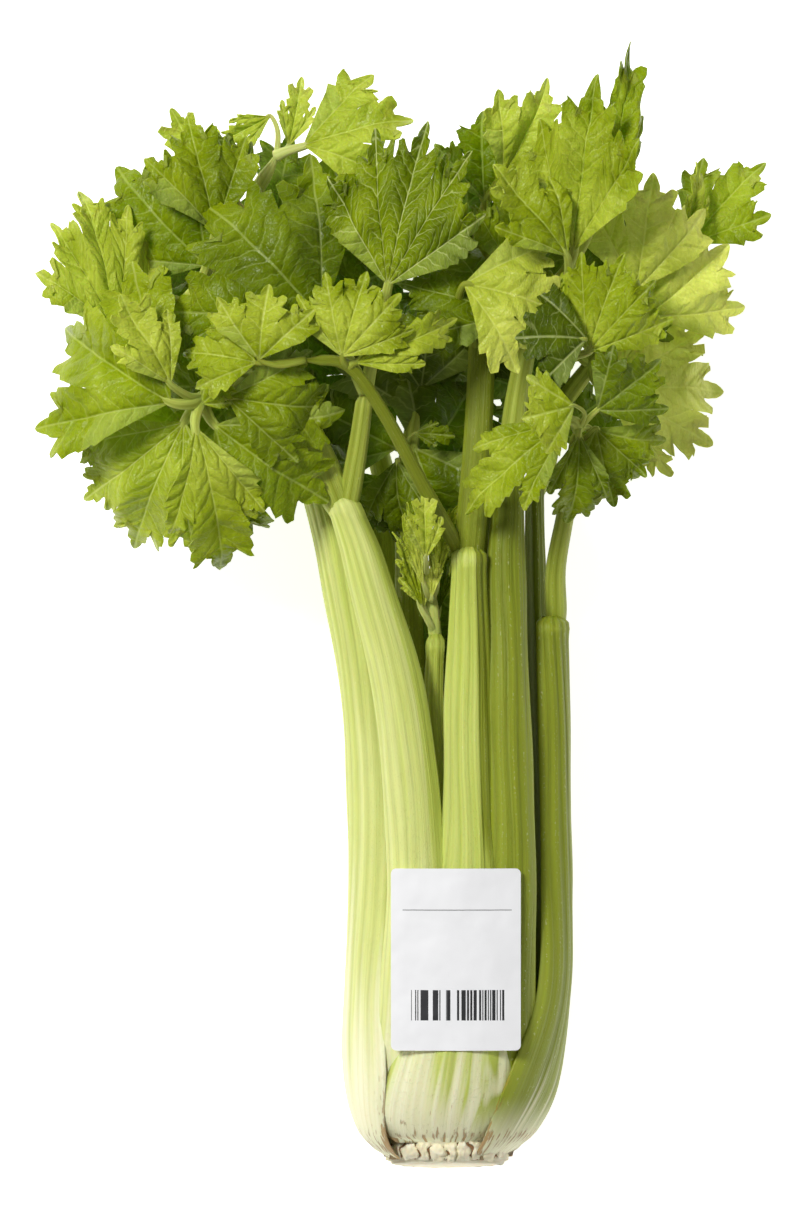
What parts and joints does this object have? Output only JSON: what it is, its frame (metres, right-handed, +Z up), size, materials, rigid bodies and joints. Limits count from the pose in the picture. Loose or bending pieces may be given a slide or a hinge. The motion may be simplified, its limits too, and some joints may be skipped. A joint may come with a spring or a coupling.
{
  "type": "celery head",
  "caption": "Whole head of celery lying on its side: ribbed stalks joined at a cut heel, lobed leafy tops and a plain paper label.",
  "frame": {"origin": "middle of the head's outline, on the table it lies on", "axes": "+Y along the stalks from the cut heel to the leafy tops, +Z up from the table through the front stalks and the label, +X to the right seen from above"},
  "size_m": [0.244, 0.3748, 0.1047],
  "materials": {
    "stalk_green": "satin",
    "leaf_green": "satin",
    "heart_yellow": "satin",
    "cut_heel": "matte",
    "label_paper": "matte"
  },
  "bodies": {
    "root": {"heel": "cut_heel", "stalk_front": "stalk_green", "stalk_left_outer": "stalk_green", "stalk_right_outer": "stalk_green", "stalk_under_right": "stalk_green", "stalk_under_left": "stalk_green", "stalk_left_front": "stalk_green", "stalk_right_mid": "stalk_green", "stalk_left_back": "stalk_green", "stalk_right_back": "stalk_green", "stalk_inner_left": "stalk_green", "stalk_inner_right": "stalk_green", "stalk_inner_back": "stalk_green", "heart_stem": "heart_yellow", "frond_under_left": "leaf_green", "frond_under_right": "leaf_green", "frond_left_back": "leaf_green", "frond_right_back": "leaf_green", "frond_left_outer": "leaf_green", "frond_inner": "leaf_green", "frond_front": "leaf_green", "frond_right_mid": "leaf_green", "frond_left_front_right": "leaf_green", "frond_right_outer": "leaf_green", "frond_left_front": "leaf_green", "frond_front_branch": "leaf_green", "heart_leaves": "heart_yellow", "label": "label_paper"}
  },
  "joints": []
}
